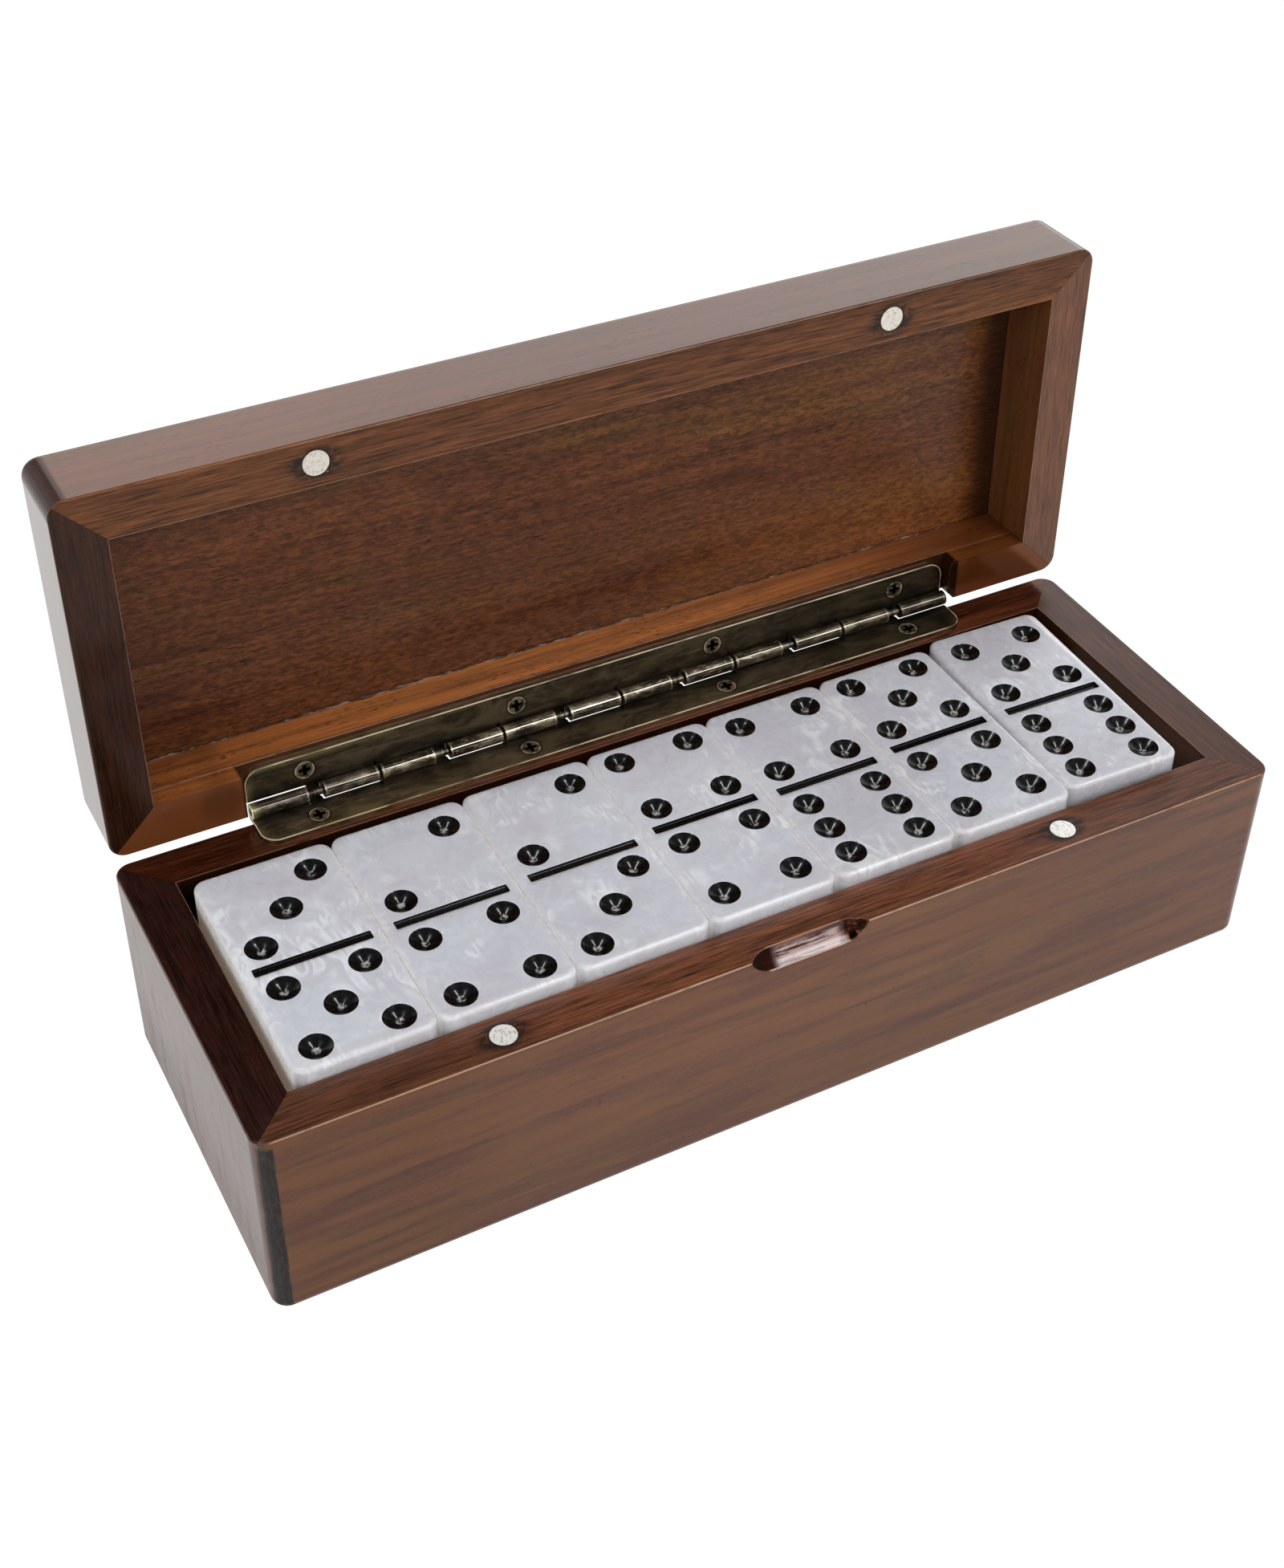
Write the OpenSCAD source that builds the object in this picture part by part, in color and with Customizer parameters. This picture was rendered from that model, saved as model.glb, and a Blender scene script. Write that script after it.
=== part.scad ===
// Hinged hardwood storage box for a double-six set of dominoes.
// Millimetres. The origin is the middle of the underside, X runs along the box,
// Y points to the hinge side and Z up. The lid stands open at its stop.

/* [Tiles] */
// Width of a tile
tile_w = 28; // [24:0.5:32]
// Length of a tile
tile_l = 56; // [50:0.5:62]
// Thickness of a tile
tile_t = 11; // [9:0.5:13]
// Corner radius of a tile, seen from above
tile_corner = 2.6; // [1.6:0.1:4]
// Radius along the edges of a tile's two faces
tile_edge = 1.2; // [0.4:0.1:1.5]
// Gap between neighbouring tiles
tile_gap = 0.1; // [0.1:0.1:1]
// Radius of a pip at the face
pip_r = 3.2; // [2.4:0.1:3.6]
// Depth of a pip
pip_depth = 1.1; // [0.6:0.1:2]
// Radius of the flat bottom of a pip
pip_floor_r = 0.6; // [0.2:0.1:1.2]
// Distance of the outer pips from the middle of a half, across the tile
pip_across = 8; // [7.4:0.1:9]
// Distance of the outer pips from the middle of a half, along the tile
pip_along = 8.1; // [7.4:0.1:9]
// Length of the dividing groove
groove_l = 23.4; // [18:0.2:25]
// Width of the dividing groove
groove_w = 1.8; // [1:0.1:2.4]
// Depth of the dividing groove
groove_depth = 0.6; // [0.3:0.1:1]
// Turn of the last tile on top, which lies askew
askew_turn = -1.6; // [-1.6:0.1:0]
// Shift of the last tile on top along the box
askew_x = 0.8; // [0.8:0.1:1.2]
// Shift of the last tile on top towards the hinge
askew_y = 1.2; // [0.9:0.1:2]

/* [Box] */
// Number of tiles side by side in a layer
per_layer = 7; // [7:1:7]
// Number of layers of tiles
layers = 4; // [4:1:4]
// Free length beside the tiles, left of them
slack_left = 1.5; // [0.5:0.1:4]
// Free length beside the tiles, right of them
slack_right = 6.8; // [5:0.1:10]
// Gap between the tiles and the front wall
slack_front = 0.1; // [0.1:0.1:1]
// Free depth behind the tiles
slack_back = 5; // [4:0.1:8]
// Thickness of the four walls
wall = 9.8; // [9:0.1:13]
// Thickness of the floor panel
floor_t = 5.2; // [3:0.1:8]
// Height by which the top tiles stand above the rim
tiles_proud = 3.3; // [1:0.1:6]
// Radius of the upright corners
corner_r = 3.5; // [2.5:0.1:6]
// Radius along the bottom of the base and the top of the lid
edge_r = 2; // [0.8:0.1:2.4]
// Radius along the outer edge of both rims
rim_r = 0.5; // [0.2:0.1:1]
// Width of the rebates that hold the floor and the lid panel
rebate = 4; // [2:0.1:5]
// Clearance round the floor and the lid panel in their rebates
panel_gap = 0.1; // [0.05:0.05:0.3]

/* [Lid] */
// Height of the lid
lid_h = 18.4; // [16:0.1:26]
// Thickness of the lid panel
panel_t = 4.2; // [3:0.1:5]
// Gap between the two rims when the lid is shut
rim_gap = 0.1; // [0.05:0.05:0.5]
// Angle of the open lid at its stop
open_angle = 91.3; // [88:0.1:100]

/* [Hinge] */
// Length of the hinge
hinge_l = 166.4; // [140:0.2:180]
// Number of knuckle pairs
pairs = 6; // [3:1:7]
// Thickness of the leaves
leaf_t = 0.8; // [0.6:0.05:1]
// Distance from the pin to a leaf's long edge
leaf_w = 8.6; // [8:0.1:9.4]
// Corner radius of the leaves
leaf_corner = 3.5; // [1:0.1:4]
// Distance from the pin to the edge of the base leaf's cut-outs
base_cutout = 1.3; // [1:0.05:2.2]
// Distance from the pin to the edge of the lid leaf's cut-outs
lid_cutout = 0.7; // [0.5:0.05:2.2]
// The same in the lid leaf's outermost cut-out, which runs out at its end
end_cutout = 1.05; // [0.8:0.05:2.4]
// Side clearance of a knuckle in its cut-out
cutout_gap = 0.5; // [0.2:0.05:0.8]
// Length of bare pin in each pair of knuckles
bare_pin = 3.4; // [2.2:0.1:5]
// Radius of the pin
pin_r = 0.8; // [0.6:0.05:1]
// Radial clearance round the pin
pin_gap = 0.05; // [0.02:0.01:0.1]
// Gap between a rolled knuckle and its own leaf
curl_gap = 0.05; // [0.03:0.01:0.2]
// Width of the seam where a roll ends
seam_w = 0.15; // [0.1:0.05:0.4]
// Place of the seam round the pin
seam_angle = 210; // [195:5:225]
// Gap between knuckles that stand end to end
knuckle_gap = 0.2; // [0.05:0.05:0.4]
// Inner bend radius where a leaf turns up to its knuckles
bend_r = 0.2; // [0.1:0.05:0.4]
// Gap between the stop faces at the open angle
stop_gap = 0.03; // [0.02:0.01:0.1]
// Distance of the pin behind the back of the base
pin_behind = 0.65; // [0.3:0.05:1]
// Clearance at each end of the hinge in the lid notch
notch_gap = 1.2; // [0.5:0.1:2]

/* [Fixings] */
// Number of screws in each leaf
screws = 4; // [2:1:4]
// Distance between the first and the last screw of a leaf
screw_span = 141.2; // [100:0.2:144]
// Distance of the screws from a leaf's long edge
screw_in = 3.7; // [3.4:0.1:4.2]
// Radius of a screw's head
screw_head_r = 2.1; // [1.6:0.05:2.2]
// Radius of a screw's shank
screw_r = 1.1; // [0.8:0.05:1.2]
// Length of a screw under its head
screw_l = 7; // [4:0.1:9]
// Clearance round a screw
screw_gap = 0.05; // [0.03:0.01:0.15]
// Width of the slots of a screw's cross
cross_w = 0.5; // [0.3:0.05:0.7]
// Length of the slots of a screw's cross
cross_l = 2.4; // [1.6:0.1:3]
// Depth of a screw's cross
cross_depth = 0.6; // [0.3:0.1:0.8]
// Radius of a magnet
magnet_r = 2.6; // [1.5:0.1:4]
// Height of a magnet
magnet_h = 3; // [2:0.1:5]
// Clearance round a magnet in its hole
magnet_gap = 0.05; // [0.03:0.01:0.15]
// Distance of each magnet from the middle of the finger scoop
magnet_x = 62.3; // [40:0.1:80]
// Distance of the finger scoop's middle from the middle of the box
scoop_x = -0.7; // [-5:0.1:5]
// Length of the straight part of the finger scoop
scoop_l = 16.6; // [10:0.2:30]
// Radius of the cutter that made the scoop
scoop_r = 6; // [5:0.1:8]
// Width of the scoop on the rim
scoop_in = 2.7; // [1.5:0.1:4]
// Height of the scoop on the front
scoop_down = 3.8; // [2:0.1:5]

/* [Hidden] */
$fn = 64;
eps = 0.01;
cut = 1;    // how far a cutting shape runs past the surface it opens

// base
tiles_w = per_layer * tile_w + (per_layer - 1) * tile_gap;
well_l = slack_left + tiles_w + slack_right;
well_d = slack_front + tile_l + slack_back;
box_l = well_l + 2 * wall;
box_d = well_d + 2 * wall;
tiles_top = floor_t + layers * tile_t;
base_h = tiles_top - tiles_proud;
first_tile_x = -well_l / 2 + slack_left + tile_w / 2;
tile_y = -well_d / 2 + slack_front + tile_l / 2;

// lid, placed shut and then swung open about the pin
lid_z = base_h + rim_gap;
lid_top = lid_z + lid_h;

// hinge
knuckle_r = pin_r + pin_gap + leaf_t;
face_gap = knuckle_r + curl_gap;      // from the pin to the inner face of a leaf
pin_h = face_gap + leaf_t;            // from the pin to the wood under a leaf
pin_y = box_d / 2 + pin_behind;
pin_z = base_h + pin_h;
pair_l = hinge_l / pairs;
knuckle_l = (pair_l - bare_pin - knuckle_gap) / 2;
tongue_l = bare_pin - cutout_gap - knuckle_gap;   // beside its own leaf's knuckle
notch_depth = 2 * pin_h - rim_gap;
screw_y = pin_y - leaf_w + screw_in;
screw_head_h = screw_head_r - screw_r;
magnet_y = -(box_d - wall) / 2;

// finger scoop: the cutter's axis stands before and above the front edge,
// level with both the width on the rim and the height on the front
scoop_chord = [scoop_in, scoop_down];
scoop_rise = sqrt(scoop_r * scoop_r - (scoop_chord * scoop_chord) / 4);
scoop_axis_y = scoop_in / 2 - scoop_rise * scoop_down / norm(scoop_chord);
scoop_axis_z = -scoop_down / 2 + scoop_rise * scoop_in / norm(scoop_chord);

wood = [0.42, 0.24, 0.15];
wood_inside = [0.5, 0.28, 0.14];
bronze = [0.38, 0.33, 0.24];
nickel = [0.78, 0.77, 0.74];
pearl = [0.86, 0.87, 0.9];

// the tiles, each as [pips of the rear half, pips of the front half], layer by layer from the floor
SET = [
    [0, 0], [0, 1], [0, 2], [0, 3], [0, 4], [0, 5], [0, 6],
    [1, 1], [1, 2], [1, 3], [1, 4], [1, 5], [1, 6], [2, 2],
    [2, 5], [2, 6], [3, 3], [3, 4], [3, 6], [4, 5], [6, 6],
    [3, 5], [2, 4], [2, 3], [4, 4], [4, 6], [5, 5], [5, 6]];
function tile_name(i) = str("tile_", SET[i][0], "_", SET[i][1]);

// ---- shapes that repeat ----

// what a round edge of radius r takes off the corner at the origin, +X +Y side
module corner_waste(r)
    if (r > 0)
        difference() {
            translate([-r, -r]) square(r + cut);
            translate([-r, -r]) circle(r);
        }

// upright strip of width w and height h with its outer corners rounded
module rounded_strip(w, h, low, high)
    difference() {
        square([w, h]);
        translate([w, 0]) mirror([0, 1]) corner_waste(low);
        translate([w, h]) corner_waste(high);
    }

// slab with round upright corners and round edges, standing on z = 0
module rounded_slab(l, d, h, corner, low, high) {
    for (side = [0, 1]) {
        mirror([0, side, 0]) translate([-l / 2 + corner, 0, 0]) rotate([90, 0, 90])
            linear_extrude(l - 2 * corner) rounded_strip(d / 2, h, low, high);
        mirror([side, 0, 0]) translate([0, d / 2 - corner, 0]) rotate([90, 0, 0])
            linear_extrude(d - 2 * corner) rounded_strip(l / 2, h, low, high);
    }
    for (x = [-1, 1], y = [-1, 1])
        translate([x * (l / 2 - corner), y * (d / 2 - corner), 0])
            rotate_extrude() rounded_strip(corner, h, low, high);
}

module centred_block(l, d, h) translate([-l / 2, -d / 2, 0]) cube([l, d, h]);

// plan of one side of a mitred frame: 0 front, 1 back, 2 left, 3 right
module mitre(side, h) {
    l = box_l / 2 + cut;
    d = box_d / 2 + cut;
    reach = l - d;
    translate([0, 0, -cut]) linear_extrude(h + 2 * cut)
        if (side < 2)
            mirror([0, side]) polygon([[-l, -d], [l, -d], [reach, 0], [-reach, 0]]);
        else
            mirror([side - 2, 0]) polygon([[-l, -d], [-reach, 0], [-l, d]]);
}

module screw_row()
    for (i = [0:screws - 1])
        translate([-screw_span / 2 + i * screw_span / (screws - 1), screw_y, 0]) children();

// swings the shut lid's pieces open about the pin
module open_lid()
    translate([0, pin_y, pin_z]) rotate([-open_angle, 0, 0]) translate([0, -pin_y, -pin_z]) children();

// turns a piece on the base rim over, so that it seats in the shut lid
module in_lid() translate([0, 0, 2 * pin_z]) mirror([0, 0, 1]) children();

// ---- base ----

module base_shell()
    difference() {
        rounded_slab(box_l, box_d, base_h, corner_r, edge_r, rim_r);
        translate([0, 0, -cut]) centred_block(well_l, well_d, base_h + 2 * cut);
        translate([0, 0, -cut]) centred_block(well_l + 2 * rebate, well_d + 2 * rebate, floor_t + cut);
    }

module base_wall(side) color(wood) intersection() { base_shell(); mitre(side, base_h); }

module finger_scoop()
    translate([scoop_x, -box_d / 2 + scoop_axis_y, base_h + scoop_axis_z]) {
        rotate([0, 90, 0]) cylinder(h = scoop_l, r = scoop_r, center = true);
        for (x = [-1, 1]) translate([x * scoop_l / 2, 0, 0]) sphere(scoop_r);
    }

// blind hole and magnet share this, standing with its face on z = 0
module magnet_plug(grow, h) translate([0, 0, -h]) cylinder(h = h, r = magnet_r + grow);

module base_front_wall()
    color(wood) difference() {
        base_wall(0);
        finger_scoop();
        for (x = [-1, 1]) translate([scoop_x + x * magnet_x, magnet_y, base_h + eps])
            magnet_plug(magnet_gap, magnet_h + magnet_gap + eps);
    }

module screw_hole() translate([0, 0, base_h + eps - screw_l - leaf_t])
    cylinder(h = screw_l + leaf_t, r = screw_r + screw_gap);

module base_back_wall()
    color(wood) difference() {
        base_wall(1);
        screw_row() { screw_hole(); countersink(); }
    }

module base_left_wall() base_wall(2);
module base_right_wall() base_wall(3);

// panel that fills the rebates of the base or the lid
module rebated_panel(h)
    color(wood_inside) centred_block(well_l + 2 * (rebate - panel_gap), well_d + 2 * (rebate - panel_gap), h);

module base_floor() rebated_panel(floor_t);

module base_magnet(side)
    color(nickel) translate([scoop_x + side * magnet_x, magnet_y, base_h]) magnet_plug(0, magnet_h);

module base_magnet_left() base_magnet(-1);
module base_magnet_right() base_magnet(1);

// ---- hinge ----

// section of a rolled knuckle round the pin, with the strip of leaf that it is rolled from
module knuckle_section(cutout) {
    bend = bend_r + leaf_t;
    difference() {
        union() {
            circle(knuckle_r);
            translate([knuckle_r - leaf_t, bend - pin_h]) square([leaf_t, pin_h - bend]);
        }
        circle(pin_r + pin_gap);
        rotate(seam_angle) translate([0, -seam_w / 2]) square([knuckle_r + cut, seam_w]);
    }
    translate([knuckle_r - bend, bend - pin_h]) intersection() {
        difference() { circle(bend); circle(bend_r); }
        translate([0, -bend]) square(bend);
    }
    translate([-cutout - eps, -pin_h]) square([cutout + eps + knuckle_r - bend, leaf_t]);
}

// section of a stop tongue: its end lies on the line that halves the open angle
module tongue_section(cutout) {
    reach = 1 / tan(open_angle / 2);
    back = stop_gap / 2 / sin(open_angle / 2);
    polygon([[-cutout - eps, -pin_h], [pin_h * reach - back, -pin_h],
             [face_gap * reach - back, -face_gap], [-cutout - eps, -face_gap]]);
}

// strip along the hinge from x, with its section seen against the pin
module along_hinge(x, l) translate([x, pin_y, pin_z]) rotate([90, 0, 90]) linear_extrude(l) children();

// plain part of a leaf with its two round corners
module leaf_plate(cutout)
    translate([0, pin_y - leaf_w, base_h]) linear_extrude(leaf_t) {
        translate([-hinge_l / 2 + leaf_corner, 0]) square([hinge_l - 2 * leaf_corner, leaf_w - cutout]);
        translate([-hinge_l / 2, leaf_corner]) square([hinge_l, leaf_w - cutout - leaf_corner]);
        for (x = [-1, 1]) translate([x * (hinge_l / 2 - leaf_corner), leaf_corner]) circle(leaf_corner);
    }

// countersunk hole from the top face of a leaf on the base rim
module countersink()
    translate([0, 0, base_h + leaf_t]) {
        translate([0, 0, -screw_head_h])
            cylinder(h = screw_head_h, r1 = screw_r + screw_gap, r2 = screw_head_r + screw_gap);
        cylinder(h = cut, r = screw_head_r + screw_gap);
        translate([0, 0, -leaf_t - cut]) cylinder(h = leaf_t + cut, r = screw_r + screw_gap);
    }

// a leaf lying on the base rim, its knuckle and its stop tongue placed from the start of each pair
module leaf(knuckle_x, tongue_x, cutout)
    color(bronze) difference() {
        union() {
            leaf_plate(cutout);
            for (i = [0:pairs - 1]) {
                start = -hinge_l / 2 + i * pair_l;
                along_hinge(start + knuckle_x, knuckle_l) knuckle_section(cutout);
                along_hinge(start + tongue_x, tongue_l) tongue_section(cutout);
            }
        }
        screw_row() countersink();
    }

module hinge_base_leaf() leaf(0, knuckle_l + knuckle_gap, base_cutout);

module hinge_lid_leaf()
    open_lid() in_lid() color(bronze) difference() {
        leaf(knuckle_l + bare_pin, knuckle_l + cutout_gap, lid_cutout);
        translate([-hinge_l / 2 - cut, pin_y - end_cutout, base_h - cut])
            cube([cut + knuckle_l + cutout_gap, end_cutout, leaf_t + 2 * cut]);
    }

module hinge_pin()
    color(bronze) translate([-hinge_l / 2 + knuckle_gap, pin_y, pin_z]) rotate([0, 90, 0])
        cylinder(h = hinge_l - 2 * knuckle_gap, r = pin_r);

// countersunk screw with its head level with the leaf on the base rim
module hinge_screw()
    color(bronze) translate([0, 0, base_h + leaf_t]) difference() {
        union() {
            translate([0, 0, -screw_head_h]) cylinder(h = screw_head_h, r1 = screw_r, r2 = screw_head_r);
            translate([0, 0, -screw_l]) cylinder(h = screw_l - screw_head_h, r = screw_r);
        }
        for (turn = [0, 90]) rotate(turn) translate([-cross_l / 2, -cross_w / 2, -cross_depth])
            cube([cross_l, cross_w, cross_depth + cut]);
    }

module base_hinge_screws() screw_row() hinge_screw();
module lid_hinge_screws() open_lid() in_lid() screw_row() hinge_screw();

// ---- lid ----

module lid_shell()
    translate([0, 0, lid_z]) difference() {
        rounded_slab(box_l, box_d, lid_h, corner_r, rim_r, edge_r);
        translate([0, 0, -cut]) centred_block(well_l, well_d, lid_h + 2 * cut);
        translate([0, 0, lid_h - panel_t])
            centred_block(well_l + 2 * rebate, well_d + 2 * rebate, panel_t + cut);
    }

module lid_rail(side)
    color(wood) intersection() { lid_shell(); translate([0, 0, lid_z]) mitre(side, lid_h); }

module lid_front_rail()
    open_lid() color(wood) difference() {
        lid_rail(0);
        for (x = [-1, 1]) translate([scoop_x + x * magnet_x, magnet_y, lid_z - eps]) mirror([0, 0, 1])
            magnet_plug(magnet_gap, magnet_h + magnet_gap + eps);
    }

module lid_back_rail()
    open_lid() color(wood) difference() {
        lid_rail(1);
        translate([-hinge_l / 2 - notch_gap, well_d / 2 - cut, lid_z - cut])
            cube([hinge_l + 2 * notch_gap, wall + 2 * cut, notch_depth + cut]);
        in_lid() screw_row() { screw_hole(); countersink(); }
    }

module lid_left_rail() open_lid() lid_rail(2);
module lid_right_rail() open_lid() lid_rail(3);

module lid_panel() open_lid() translate([0, 0, lid_top - panel_t]) rebated_panel(panel_t);

module lid_magnet(side)
    open_lid() color(nickel) translate([scoop_x + side * magnet_x, magnet_y, lid_z])
        mirror([0, 0, 1]) magnet_plug(0, magnet_h);

module lid_magnet_left() lid_magnet(-1);
module lid_magnet_right() lid_magnet(1);

// ---- tiles ----

// places of a half's pips in steps from its middle: 2 and 3 run from the rear right to the front left
function pips(n) = concat(
    n % 2 == 1 ? [[0, 0]] : [],
    n > 1 ? [[1, 1], [-1, -1]] : [],
    n > 3 ? [[-1, 1], [1, -1]] : [],
    n == 6 ? [[-1, 0], [1, 0]] : []);

module half_pips(n, y)
    for (p = pips(n)) translate([p.x * pip_across, y + p.y * pip_along, tile_t - pip_depth])
        cylinder(h = pip_depth + eps, r1 = pip_floor_r, r2 = pip_r + eps * (pip_r - pip_floor_r) / pip_depth);

module domino(rear, front)
    color(pearl) difference() {
        rounded_slab(tile_w, tile_l, tile_t, tile_corner, tile_edge, tile_edge);
        half_pips(rear, tile_l / 4);
        half_pips(front, -tile_l / 4);
        translate([-groove_l / 2, -groove_w / 2, tile_t - groove_depth])
            cube([groove_l, groove_w, groove_depth + cut]);
    }

module stacked_tile(i) {
    column = i % per_layer;
    layer = floor(i / per_layer);
    askew = i == len(SET) - 1 ? 1 : 0;
    translate([first_tile_x + column * (tile_w + tile_gap) + askew * askew_x,
               tile_y + askew * askew_y, floor_t + layer * tile_t])
        rotate(askew * askew_turn) domino(SET[i][0], SET[i][1]);
}

// ---- the pieces by name ----

base_front_wall();
base_back_wall();
base_left_wall();
base_right_wall();
base_floor();
base_magnet_left();
base_magnet_right();
hinge_base_leaf();
hinge_pin();
base_hinge_screws();
lid_front_rail();
lid_back_rail();
lid_left_rail();
lid_right_rail();
lid_panel();
lid_magnet_left();
lid_magnet_right();
hinge_lid_leaf();
lid_hinge_screws();
for (i = [0:len(SET) - 1])
    stacked_tile(i);
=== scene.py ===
import math

import bpy
import bmesh
from mathutils import Euler, Matrix, Vector, noise


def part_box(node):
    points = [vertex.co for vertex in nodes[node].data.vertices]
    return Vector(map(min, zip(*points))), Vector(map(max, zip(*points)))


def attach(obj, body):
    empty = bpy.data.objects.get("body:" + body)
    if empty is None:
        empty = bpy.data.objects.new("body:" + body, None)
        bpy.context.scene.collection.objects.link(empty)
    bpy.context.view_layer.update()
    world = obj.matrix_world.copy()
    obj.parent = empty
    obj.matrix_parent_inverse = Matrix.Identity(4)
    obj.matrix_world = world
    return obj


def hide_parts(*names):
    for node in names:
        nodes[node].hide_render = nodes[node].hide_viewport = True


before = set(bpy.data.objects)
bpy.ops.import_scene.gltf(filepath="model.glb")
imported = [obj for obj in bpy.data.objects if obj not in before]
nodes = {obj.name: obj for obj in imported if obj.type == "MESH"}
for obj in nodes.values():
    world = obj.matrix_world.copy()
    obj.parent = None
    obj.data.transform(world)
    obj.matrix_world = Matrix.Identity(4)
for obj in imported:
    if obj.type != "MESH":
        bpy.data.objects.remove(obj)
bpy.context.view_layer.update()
mm = 0.001
print("frame loaded")


class Wire:
    # one output of a shader node, with arithmetic that adds Math nodes
    def __init__(self, look, out):
        self.look = look
        self.out = out

    def math(self, operation, *others):
        return self.look.add("Math", [self, *others], operation=operation)

    def __add__(self, other): return self.math("ADD", other)
    def __radd__(self, other): return self.math("ADD", other)
    def __sub__(self, other): return self.math("SUBTRACT", other)
    def __mul__(self, other): return self.math("MULTIPLY", other)
    def __rmul__(self, other): return self.math("MULTIPLY", other)
    def __truediv__(self, other): return self.math("DIVIDE", other)
    def __rsub__(self, other): return (self * -1) + other
    def __abs__(self): return self.math("ABSOLUTE")
    def least(self, other): return self.math("MINIMUM", other)
    def most(self, other): return self.math("MAXIMUM", other)

    def repeat(self, half):
        # from -half to half, and over again
        return self.math("WRAP", half, -half)

    def ramp(self, low, high, atLow=0.0, atHigh=1.0):
        return self.look.add("MapRange", [self, low, high, atLow, atHigh], interpolation_type="SMOOTHSTEP")


class Tree:
    # a node tree with short calls for adding to it
    def __init__(self, tree):
        self.tree = tree

    def plug(self, socket, value):
        if isinstance(value, Wire):
            self.tree.links.new(value.out, socket)
        else:
            socket.default_value = value

    def add(self, kind, values=(), output=0, named=None, **settings):
        # any node: its settings first, then the values or wires of its sockets in order, or by name or number
        node = self.tree.nodes.new("ShaderNode" + kind)
        for key, value in settings.items():
            setattr(node, key, value)
        for key, value in [*enumerate(values), *(named or {}).items()]:
            self.plug(node.inputs[key], value)
        return Wire(self, node.outputs[output])

    def split(self, vector):
        first = self.add("SeparateXYZ", [vector])
        return [Wire(self, out) for out in first.out.node.outputs]


class Look(Tree):
    # a Principled material that is built node by node
    def __init__(self, name, **plain):
        self.material = bpy.data.materials.new(name)
        self.material.use_nodes = True
        super().__init__(self.material.node_tree)
        self.shader = self.tree.nodes["Principled BSDF"]
        self.dark = None
        self.end(**plain)

    def place(self, move=(0, 0, 0), turn=(0, 0, 0), stretch=(1, 1, 1)):
        spot = self.add("TexCoord", output="Object")
        turn = [math.radians(a) for a in turn]
        return self.add("Mapping", named={"Vector": spot, "Location": move, "Rotation": turn, "Scale": stretch})

    def clouds(self, vector, scale=1.0, detail=3.0, rough=0.55, bend=0.0):
        named = {"Vector": vector, "Scale": scale, "Detail": detail, "Roughness": rough, "Distortion": bend}
        return self.add("TexNoise", named=named)

    def blend(self, amount, first, second):
        # the colour sockets of a Mix node are its numbers 6 and 7
        first, second = (value if isinstance(value, Wire) else (*value, 1.0) for value in (first, second))
        return self.add("Mix", output=2, named={0: amount, 6: first, 7: second}, data_type="RGBA")

    def times(self, colour, amount):
        if not isinstance(colour, Wire):
            colour = self.blend(0.0, colour, colour)
        return self.add("VectorMath", [colour], operation="SCALE", named={"Scale": amount})

    def bump(self, height, distance, strength=1.0):
        return self.add("Bump", named={"Height": height, "Distance": distance, "Strength": strength})

    def darken(self, mask):
        # where the mask is 1 the surface loses its white shine
        self.dark = mask if self.dark is None else self.dark.most(mask)

    def end(self, **wires):
        for key, value in wires.items():
            self.plug(self.shader.inputs[key.replace("_", " ")], value)
        return self.material


def dress(name, material):
    data = nodes[name].data
    data.materials.clear()
    data.materials.append(material)


# sizes that the looks follow, read from the pieces or kept beside them
frontLow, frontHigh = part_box("base_front_wall")
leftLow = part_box("base_left_wall")[0]
pinLow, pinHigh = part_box("hinge_pin")
rimZ = frontHigh.z
frontY = frontLow.y
wallT = frontHigh.y - frontLow.y
halfL = -leftLow.x
halfD = -frontY
wellX = halfL - wallT
wellY = halfD - wallT
pin = (pinLow + pinHigh) / 2
openAngle = 91.3
lidFace = {"rim": 46.0 * mm, "panel": 60.2 * mm}  # heights when the lid is shut


def shut(look):
    # coordinates of a lid piece as it lies when the lid is shut
    turn = Matrix.Rotation(math.radians(openAngle), 3, "X")
    return look.place(move=pin - turn @ pin, turn=(openAngle, 0, 0))


def onLidRim(z):
    return z.ramp(lidFace["rim"] + 0.35 * mm, lidFace["rim"] + 0.12 * mm)


def stretched(along, length, width):
    return {"x": (length, width, width), "y": (width, length, width), "z": (width, width, length)}[along]


def outerFinish(look, tone, contrast):
    # the stained and lacquered wood of the lid's outer faces
    grain = look.clouds(look.place(stretch=(12, 260, 260)), 1, 5, 0.62, 0.3)
    return look.times(tone, 1 + (grain - 0.5) * contrast)


def near(first, second, spread):
    # 1 at the straight edge where both distances are 0, and 0 beyond the spread
    return (first * first + second * second).math("SQRT").ramp(spread, spread * 0.45)


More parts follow.
